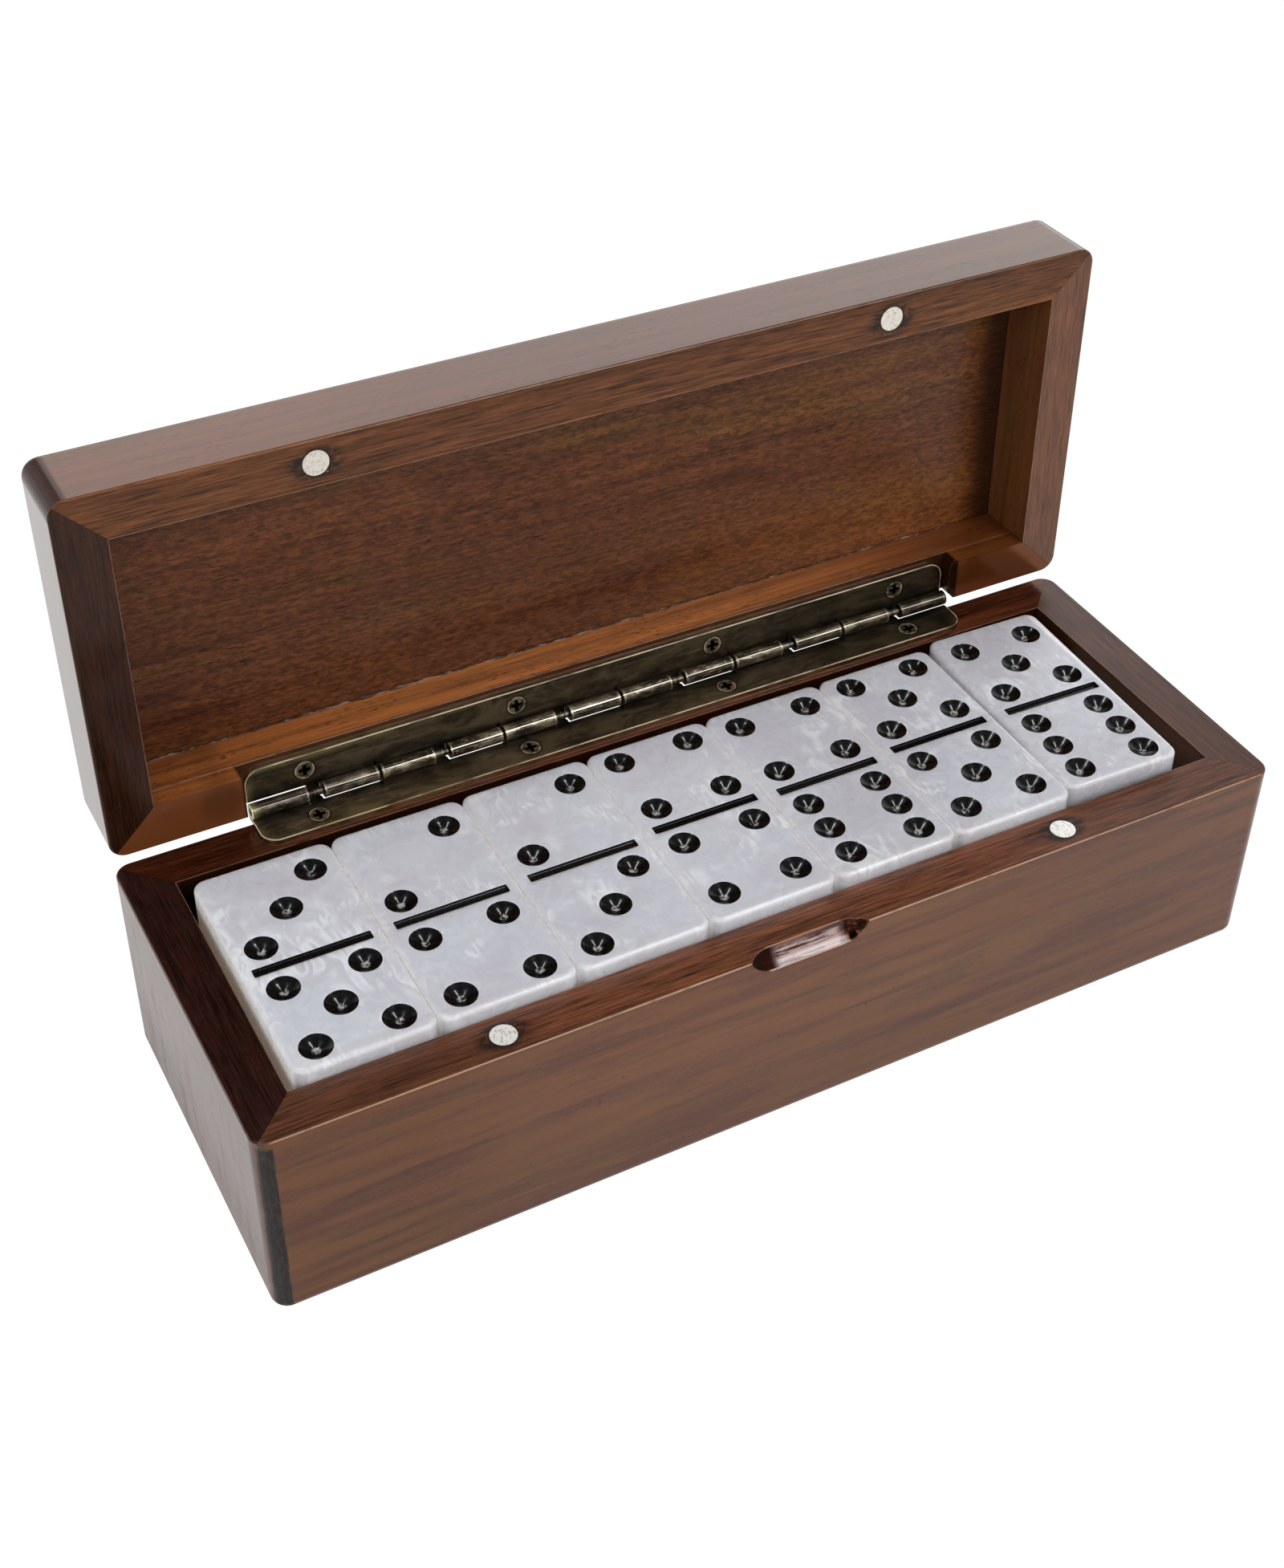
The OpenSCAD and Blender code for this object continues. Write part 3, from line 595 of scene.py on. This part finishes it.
def screwLook(name, lid):
    # worn heads with a bright ring and a black cross; the black cross and dark middle are painted shade in the
    # recess
    look = Look(name, Metallic=1.0)
    x, y, z = hingePlace(look, lid)
    wear = look.clouds(look.place(), 900, 3, 0.6)
    colour = look.blend(wear.ramp(0.4, 0.6), (0.07, 0.058, 0.042), (0.32, 0.28, 0.21))
    aside, away = (x - screw["pitch"] / 2).repeat(screw["pitch"] / 2), y - screw["y"]
    ring = (aside * aside + away * away).math("SQRT")
    colour = look.blend(ring.ramp(1.7 * mm, 1.95 * mm) * wear.ramp(0.35, 0.55), colour, (0.78, 0.7, 0.56))
    cross = abs(aside).least(abs(away)).ramp(0.5 * mm, 0.36 * mm) * ring.ramp(1.5 * mm, 1.25 * mm)
    deep = z.ramp(leaf["face"] + 0.05 * mm, leaf["face"] + 0.2 * mm)
    cross = cross.most(deep).most(ring.ramp(0.75 * mm, 0.55 * mm))
    colour = look.blend(cross, colour, (0.004, 0.0035, 0.003))
    bump = look.bump(wear, 0.05 * mm, 0.5)
    return look.end(Base_Color=colour, Roughness=wear.ramp(0.3, 0.7, 0.34, 0.46), Normal=bump)


def pinLook():
    look = Look("pinSteel", Metallic=1.0)
    turned = look.clouds(look.place(stretch=(1600, 300, 300)), 1, 3, 0.6)
    colour = look.blend(turned.ramp(0.4, 0.65), (0.04, 0.034, 0.026), (0.16, 0.14, 0.11))
    bump = look.bump(turned, 0.04 * mm, 0.5)
    return look.end(Base_Color=colour, Roughness=turned.ramp(0.3, 0.7, 0.26, 0.42), Normal=bump)


# painted light and shade: how bright each magnet is, and its cast
magnetLightAndShade = {
    "base_magnet_left": (1.02, (1.0, 1.0, 1.0)),
    "base_magnet_right": (1.21, (1.0, 1.0, 1.0)),
    "lid_magnet_left": (0.8, (1.0, 0.94, 0.87)),
    "lid_magnet_right": (0.85, (1.0, 0.94, 0.87)),
}


def nickelLook(name, level, cast):
    look = Look(name, Metallic=0.12, Specular_IOR_Level=0.6)
    scratch = look.clouds(look.place(stretch=(1500, 700, 1500)), 1, 4, 0.7, 1.2)
    dull = tuple(c * k * level for c, k in zip((0.5, 0.46, 0.4), cast))
    bright = tuple(c * k * level for c, k in zip((0.8, 0.79, 0.75), cast))
    colour = look.blend(scratch.ramp(0.36, 0.5), dull, bright)
    bump = look.bump(scratch, 0.08 * mm, 0.5)
    return look.end(Base_Color=colour, Roughness=scratch.ramp(0.3, 0.7, 0.5, 0.32), Normal=bump)


dress("hinge_base_leaf", leafLook("bronzeBaseLeaf", False))
dress("hinge_lid_leaf", leafLook("bronzeLidLeaf", True))
dress("base_hinge_screws", screwLook("bronzeBaseScrews", False))
dress("lid_hinge_screws", screwLook("bronzeLidScrews", True))
dress("hinge_pin", pinLook())
for name, (level, cast) in magnetLightAndShade.items():
    dress(name, nickelLook("nickel_" + name, level, cast))
print("metal dressed")


tile = {
    "wide": 28 * mm, "long": 56 * mm,
    "pitch": 28.1 * mm,  # from one column to the next
    "first": -wellX + 15.5 * mm,  # the middle of the left column
    "layer": 11 * mm,  # from one layer to the next
    "floor": 5.2 * mm,  # where the lowest layer lies
    "corner": 2.6 * mm, "edge": 1.0 * mm,  # the roundings
}
pearlTone = {
    "grey": (0.6, 0.595, 0.648), "blue": (0.635, 0.655, 0.712), "soft": (0.69, 0.72, 0.77),
    "silk": (0.86, 0.89, 0.93), "glint": (0.88, 0.9, 0.93), "wisp": (0.82, 0.85, 0.88),
    "side": (0.9, 0.88, 0.85), "front": (0.5, 0.485, 0.48),
    "glowAbove": (0.3, 0.28, 0.265), "glowBelow": (0.17, 0.125, 0.09),
}
pearl = Look("pearl", Coat_Weight=0.35, Coat_Roughness=0.12, Specular_IOR_Level=0.45, Emission_Strength=1.0,
             Subsurface_Weight=1.0, Subsurface_Radius=(1.0, 0.95, 0.9), Subsurface_Scale=5 * mm)


def belowTop(z):
    # how far a point lies below the top of its own layer
    return tile["layer"] - ((z - tile["floor"]) / tile["layer"]).math("FRACT") * tile["layer"]


def swirl(scale, move, bend, size, turn=0, stretch=1.0):
    # clouds that are pushed about by other clouds
    named = {"Vector": pearl.place(move=move), "Scale": scale, "Detail": 2.0}
    push = pearl.times(pearl.add("TexNoise", named=named, output="Color"), bend)
    spot = pearl.place(move=move, turn=(0, 0, turn), stretch=(stretch, 1, 1))
    return pearl.clouds(pearl.add("VectorMath", [push, spot], operation="ADD"), size, 2, 0.5, 0.2)


# two tones of pearl, brighter folds and ripples in patches, and fine wisps
x, y, z = pearl.split(pearl.place())
drift = pearl.clouds(pearl.place(), 34, 2, 0.5)
soft = swirl(40, (0.3, 0.1, 0), 0.03, 70)
folds = (swirl(60, (0.9, 0.4, 0), 0.018, 50, 30, 3.2) * 7).math("FRACT")
ripples = (swirl(90, (0.2, 0.8, 0), 0.010, 95, -50, 3.4) * 6).math("FRACT")
patches = pearl.clouds(pearl.place(move=(3, 3, 3)), 70, 2, 0.6)
specks = pearl.clouds(pearl.place(move=(5, 2, 3)), 130, 2, 0.6)
wisps = swirl(120, (0.9, 0.4, 0), 0.012, 300)
colour = pearl.blend(drift.ramp(0.36, 0.64), pearlTone["grey"], pearlTone["blue"])
colour = pearl.blend(soft.ramp(0.4, 0.66) * 0.4, colour, pearlTone["soft"])
lively = x.ramp(-50 * mm, -75 * mm) * 0.08
silk = folds.ramp(0.1, 0.8) * folds.ramp(1.0, 0.8) * (patches + lively).ramp(0.54, 0.7)
colour = pearl.blend(silk * 0.72, colour, pearlTone["silk"])
glints = ripples.ramp(0.2, 0.8) * ripples.ramp(1.0, 0.8) * (specks + lively * 0.5).ramp(0.56, 0.68)
colour = pearl.blend(glints * 0.7, colour, pearlTone["glint"])
colour = pearl.blend(wisps.ramp(0.56, 0.7) * 0.14, colour, pearlTone["wisp"])
# painted shade: a little darker from the second column on, and darker still right of the middle
colour = pearl.times(colour, 1 - x.ramp(0, 30 * mm) * 0.09 - x.ramp(-76 * mm, -66 * mm) * 0.03)

# painted light: the long sides are lighter and warmer and glow faintly below their edge; painted shade: the front
# ends are darker
depth = belowTop(z)
side = abs((x - tile["first"]).repeat(tile["pitch"] / 2)).ramp(13.3 * mm, 13.95 * mm)
colour = pearl.blend(side * 0.5, colour, pearlTone["side"])
colour = pearl.blend(y.ramp(-27.4 * mm, -28 * mm) * 0.3, colour, pearlTone["front"])
glowing = side * depth.ramp(0.3 * mm, 1.4 * mm) * x.ramp(-99 * mm, -100 * mm, 0.34, 0.75)
glow = pearl.blend(depth.ramp(2 * mm, 5.5 * mm), pearlTone["glowAbove"], pearlTone["glowBelow"])
pearlMaterial = pearl.end(Base_Color=colour, Roughness=wisps.ramp(0.3, 0.7, 0.2, 0.34),
                          Emission_Color=pearl.times(glow, glowing), Normal=pearl.bump(wisps, 0.03 * mm, 0.3))

# black paint, with a pale glint at the bottom of each pip
ink = Look("ink", Coat_Roughness=0.14, Specular_IOR_Level=0.12)
brushed = ink.clouds(ink.place(), 1300, 3, 0.6)
x, y, z = ink.split(ink.place())
inPip = abs(y).ramp(1.9 * mm, 2.2 * mm)
tip = belowTop(z).ramp(1.16 * mm, 1.38 * mm) * brushed.ramp(0.4, 0.58)
colour = ink.blend(brushed.ramp(0.45, 0.7), (0.0015, 0.0015, 0.0015), (0.004, 0.004, 0.004))
inkMaterial = ink.end(Base_Color=ink.blend(tip, colour, (0.4, 0.4, 0.4)), Coat_Weight=inPip * 0.6 + 0.02,
                      Roughness=brushed.ramp(0.3, 0.7, 0.2, 0.34), Normal=ink.bump(brushed, 0.06 * mm, 0.4))

pip = {
    "radius": 3.2 * mm, "lip": 0.12 * mm, "across": 8.0 * mm, "along": 8.13 * mm, "tip": 1.44 * mm, "sides": 36,
    # radius and depth of the bowl in millimetres, from the lip in
    "bowl": ((3.2, 0.04), (3.0, 0.16), (2.7, 0.35), (2.35, 0.56), (2.1, 0.69), (1.6, 0.915), (1.1, 1.14),
             (0.65, 1.34), (0.35, 1.42)),
}
groove = {"length": 23.5 * mm, "width": 2.15 * mm, "depth": 0.62 * mm, "rounding": 0.28 * mm}
rise = 0.3 * mm  # how far the cutter of a pip stands above the tile
tiny = 0.001 * mm


def makePiece(name, mesh, *materials):
    # an object from a bmesh, which is used up
    data = bpy.data.meshes.new(name)
    mesh.to_mesh(data)
    mesh.free()
    for material in materials:
        data.materials.append(material)
    piece = bpy.data.objects.new(name, data)
    bpy.context.scene.collection.objects.link(piece)
    return piece


def smooth(mesh):
    for face in mesh.faces:
        face.smooth = True


def addDish(mesh, x, y, top):
    # half of the outline from the axis over the lip to the tip, spun round the pip's middle
    outer = pip["radius"] + pip["lip"]
    outline = [(0, rise), (outer, rise), (outer, 0)]
    outline += [(radius * mm, -drop * mm) for radius, drop in pip["bowl"]] + [(0, -pip["tip"])]
    corners = [mesh.verts.new((x + radius, y, top + level)) for radius, level in outline]
    edges = [mesh.edges.new(pair) for pair in zip(corners, corners[1:])]
    known = set(mesh.faces)
    bmesh.ops.spin(mesh, geom=corners + edges, cent=(x, y, top), axis=(0, 0, 1), angle=2 * math.pi,
                   steps=pip["sides"], use_merge=True)
    for face in mesh.faces:
        if face not in known and face.calc_center_median().z < top - 0.03 * mm:
            face.material_index = 1


def addGroove(mesh, y, top):
    # the first thing in the cutter, so that all its faces are black
    half, wide, deep = groove["length"] / 2, groove["width"] / 2, groove["depth"]
    scale = Matrix.Diagonal((2 * half, 2 * wide, 2 * deep, 1))
    made = bmesh.ops.create_cube(mesh, size=1.0, matrix=Matrix.Translation((0, y, top)) @ scale)
    edges = {edge for vert in made["verts"] for edge in vert.link_edges}
    bottom = [e for e in edges if all(v.co.z < top for v in e.verts)]
    upright = [e for e in edges if abs(e.verts[0].co.z - e.verts[1].co.z) > deep]
    bmesh.ops.bevel(mesh, geom=bottom + upright, offset=groove["rounding"], segments=3, profile=0.5,
                    affect="EDGES", material=-1)
    for face in mesh.faces:
        face.material_index = 1


def spots(count):
    # where the pips of one half lie, in steps from its middle
    places = [(0, 0)] if count % 2 else []
    if count > 1:
        places += [(1, 1), (-1, -1)]
    if count > 3:
        places += [(-1, 1), (1, -1)]
    if count == 6:
        places += [(-1, 0), (1, 0)]
    return places


def finished(blank):
    bpy.context.view_layer.update()
    return bpy.data.meshes.new_from_object(blank.evaluated_get(bpy.context.evaluated_depsgraph_get()))


def tileMesh(rear, front, size, shift):
    # a rounded block, its groove and pips cut out, its faces smoothed between sharp edges
    blankMesh = bmesh.new()
    bmesh.ops.create_cube(blankMesh, size=1.0, matrix=Matrix.Diagonal((*size, 1)))
    upright = [e for e in blankMesh.edges if abs(e.verts[0].co.z - e.verts[1].co.z) > size[2] / 2]
    bmesh.ops.bevel(blankMesh, geom=upright, offset=tile["corner"], segments=7, profile=0.5, affect="EDGES",
                    material=-1)
    blankMesh.normal_update()
    level = [e for e in blankMesh.edges if abs(e.verts[0].co.z - e.verts[1].co.z) < size[2] / 2]
    bmesh.ops.bevel(blankMesh, geom=level, offset=tile["edge"], segments=5, profile=0.5, affect="EDGES",
                    material=-1)
    cutMesh = bmesh.new()
    top = size[2] / 2
    addGroove(cutMesh, shift, top)
    for count, middle in ((rear, size[1] / 4), (front, -size[1] / 4)):
        for px, py in spots(count):
            addDish(cutMesh, px * pip["across"], middle + shift + py * pip["along"], top)
    bmesh.ops.remove_doubles(cutMesh, verts=cutMesh.verts, dist=tiny)
    bmesh.ops.recalc_face_normals(cutMesh, faces=cutMesh.faces)
    smooth(blankMesh)
    smooth(cutMesh)
    blank = makePiece("blank", blankMesh, pearlMaterial, inkMaterial)
    cutter = makePiece("cutter", cutMesh, pearlMaterial, inkMaterial)
    cut = blank.modifiers.new("cut", "BOOLEAN")
    cut.object = cutter
    cut.solver = "EXACT"
    mesh = finished(blank)
    blank.modifiers.clear()
    blank.data = mesh
    mesh.set_sharp_from_angle(angle=math.radians(38))
    even = blank.modifiers.new("even", "WEIGHTED_NORMAL")
    even.keep_sharp = True
    mesh = finished(blank)
    bpy.data.objects.remove(cutter)
    bpy.data.objects.remove(blank)
    return mesh


# how far the marks of a tile sit off its middle in millimetres, and the one tile that lies turned
markShift = {"3_5": -1.0, "2_4": -1.0, "2_3": -0.6, "4_4": 0.8, "4_6": -0.2, "5_5": 0.8, "5_6": -1.0}
tileTurn = {"5_6": -1.6}
for name in [n for n in nodes if n.startswith("tile_")]:
    low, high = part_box(name)
    faces = name.removeprefix("tile_")
    rear, front = (int(c) for c in faces.split("_"))
    size = (tile["wide"], tile["long"], high.z - low.z)
    mesh = tileMesh(rear, front, size, markShift.get(faces, 0.0) * mm)
    turn = Matrix.Rotation(math.radians(tileTurn.get(faces, 0.0)), 4, "Z")
    mesh.transform(Matrix.Translation((low + high) / 2) @ turn)
    piece = bpy.data.objects.new("domino_" + faces, mesh)
    bpy.context.scene.collection.objects.link(piece)
    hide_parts(name)
    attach(piece, name)
print("tiles made")


# a bead of dried glue along the inner edge of the lid's panel: a grid bent round that edge
bead = {
    "from": -100 * mm, "to": 92 * mm, "rings": 427, "sides": 8,
    "off": 0.12 * mm,  # its middle stands this far off both faces
    "tones": ((0.035, 0.018, 0.013), (0.24, 0.155, 0.125)),
}
glue = Look("glue", Specular_IOR_Level=0.25)
milky = glue.clouds(glue.place(stretch=(260, 900, 900)), 1, 3, 0.65)
glueMaterial = glue.end(Base_Color=glue.blend(milky.ramp(0.42, 0.66), *bead["tones"]),
                        Roughness=milky.ramp(0.3, 0.7, 0.35, 0.55), Normal=glue.bump(milky, 0.1 * mm, 0.6))
glueMesh = bmesh.new()
bmesh.ops.create_grid(glueMesh, x_segments=bead["rings"] - 1, y_segments=bead["sides"], size=0.5)
backTurn = Matrix.Rotation(math.radians(-openAngle), 3, "X")
corner = Vector((0, wellY, lidFace["panel"]))
for vert in glueMesh.verts:
    along, around = vert.co.x + 0.5, vert.co.y + 0.5
    x = bead["from"] + along * (bead["to"] - bead["from"])
    swell = noise.noise(Vector((x * 420, 3.1, 0))) + 0.7 * noise.noise(Vector((x * 1300, 7.7, 0)))
    body = 0.5 * noise.noise(Vector((x * 40, 1.3, 0))) + 0.5 * math.exp(-(((x + 40 * mm) / (26 * mm)) ** 2))
    radius = max(0.02, 0.13 + 0.26 * body + 0.32 * swell) * mm
    if min(along, 1 - along) < 0.001:
        radius = 0
    drift = noise.noise(Vector((x * 600, 9.2, 0))) * 0.3 * mm
    turn = 2 * math.pi * around
    across, high = math.cos(turn) * radius - bead["off"], math.sin(turn) * radius - bead["off"] - drift
    vert.co = backTurn @ (corner + Vector((x, across, high)) - pin) + pin
bmesh.ops.remove_doubles(glueMesh, verts=glueMesh.verts, dist=tiny)
bmesh.ops.recalc_face_normals(glueMesh, faces=glueMesh.faces)
smooth(glueMesh)
glueBead = makePiece("glueBead", glueMesh, glueMaterial)
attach(glueBead, "lid")
print("glue bead made")


# small burrs that narrow the base leaf's cut-outs: left, right, front and back within a pair, in millimetres
burrs = ((14.9, 27.7, -1.4, -0.72), (14.9, 15.2, -1.4, 0.4))
burrHeight = (0.02 * mm, 0.78 * mm)  # above the rim
burrMesh = bmesh.new()
for number in range(leaf["pairs"]):
    start = -leaf["half"] + number * leaf["pair"]
    for left, right, front, back in burrs:
        low = Vector((start + left * mm, pin.y + front * mm, rimZ + burrHeight[0]))
        high = Vector((start + right * mm, pin.y + back * mm, rimZ + burrHeight[1]))
        scale = Matrix.Diagonal((*(high - low), 1))
        burr = bmesh.ops.create_cube(burrMesh, size=1.0, matrix=Matrix.Translation((low + high) / 2) @ scale)
        edges = list({edge for vert in burr["verts"] for edge in vert.link_edges})
        bmesh.ops.bevel(burrMesh, geom=edges, offset=0.07 * mm, segments=2, profile=0.5, affect="EDGES",
                        material=-1)
cutoutBurrs = makePiece("cutoutBurrs", burrMesh, nodes["hinge_base_leaf"].data.materials[0])
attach(cutoutBurrs, "base")
print("burrs made")


# white paper under and behind the box, and a sky that is brighter at the sides than overhead
room = {
    "paper": (0.9, 0.9, 0.9, 1.0), "white": (1.0, 1.0, 1.0, 1.0),
    "background": 1.02,  # its strength as the camera sees it
    "mirrored": 0.5,  # how much of that the reflections see
    "floor": 4,  # half of its width in metres
    "drop": -0.2 * mm,
    "sky": (0.3, 0.68, 0.79, 0.115),  # two heights, and the strengths below and above them
}
sheet = bmesh.new()
bmesh.ops.create_grid(sheet, x_segments=1, y_segments=1, size=room["floor"])
paper = Look("paper", Roughness=0.9, Specular_IOR_Level=0.1, Base_Color=room["paper"])
mirrored = paper.add("LightPath", output="Is Glossy Ray") * room["mirrored"]
seen = mirrored.most(paper.add("LightPath", output="Is Camera Ray"))
lit = paper.add("Emission", [room["white"], room["background"]])
paper.plug(paper.tree.nodes["Material Output"].inputs["Surface"],
           paper.add("MixShader", [seen, Wire(paper, paper.shader.outputs[0]), lit]))
floor = makePiece("floor", sheet, paper.material)
floor.location.z = room["drop"]

world = bpy.data.worlds.new("room")
bpy.context.scene.world = world
world.use_nodes = True
sky = Tree(world.node_tree)
ambient = sky.tree.nodes["Background"]
height = sky.split(sky.add("TexCoord", output="Generated"))[2]
sky.plug(ambient.inputs["Color"], room["white"])
sky.plug(ambient.inputs["Strength"], height.ramp(*room["sky"]))
clean = sky.add("Background", [room["white"], room["background"]])
sky.plug(sky.tree.nodes["World Output"].inputs["Surface"],
         sky.add("MixShader", [sky.add("LightPath", output="Is Camera Ray"), Wire(sky, ambient.outputs[0]), clean]))

lamps = {
    "pipLampRight": {
        "towards": (0.375, -0.06, 0.924), "distance": 3.0, "size": (0.2, 0.33), "power": 7.5, "turn": 15},
    "pipLampLeft": {
        "towards": (-0.217, 0.253, 0.942), "distance": 3.0, "size": (0.78, 0.18), "power": 13, "turn": 31},
    "frontLamp": {"towards": (0.39, -0.62, 0.68), "distance": 1.2, "size": (0.5, 0.5), "power": 7.2, "turn": 0},
    "leftLamp": {"towards": (-0.62, -0.45, 0.64), "distance": 1.3, "size": (0.8, 0.8), "power": 4.4, "turn": 0},
    "backPanel": {"towards": (0.42, 0.76, 0.43), "distance": 1.3, "size": (1.4, 0.55), "power": 3.7, "turn": 0},
}
aim = Vector((0, 0, 0.04))  # what the lamps point at
for name, lamp in lamps.items():
    light = bpy.data.lights.new(name, "AREA")
    light.shape = "RECTANGLE"
    light.size, light.size_y = lamp["size"]
    light.energy = lamp["power"]
    holder = bpy.data.objects.new(name, light)
    towards = Vector(lamp["towards"]).normalized()
    holder.location = towards * lamp["distance"] + aim
    turn = math.radians(lamp["turn"])
    across = Vector((math.cos(turn), math.sin(turn), 0))
    upward = towards.cross(across).normalized()
    holder.rotation_euler = Matrix((upward.cross(towards), upward, towards)).transposed().to_euler()
    bpy.context.scene.collection.objects.link(holder)

view = {
    "lens": 51.23, "sensor": 36, "shift": (-0.0285, -0.0389),
    "place": (-0.17438, -0.29558, 0.34186),
    "turn": (51.6105, -1.3021, -28.5438),
}
cameraData = bpy.data.cameras.new("camera")
cameraData.lens = view["lens"]
cameraData.sensor_width = view["sensor"]
cameraData.sensor_fit = "AUTO"
cameraData.shift_x, cameraData.shift_y = view["shift"]
cameraData.clip_start = 0.01
camera = bpy.data.objects.new("camera", cameraData)
camera.location = view["place"]
camera.rotation_euler = Euler([math.radians(a) for a in view["turn"]])
bpy.context.scene.collection.objects.link(camera)
bpy.context.scene.camera = camera
bpy.context.scene.view_settings.view_transform = "Standard"
print("room, light and camera made")

bpy.context.view_layer.update()
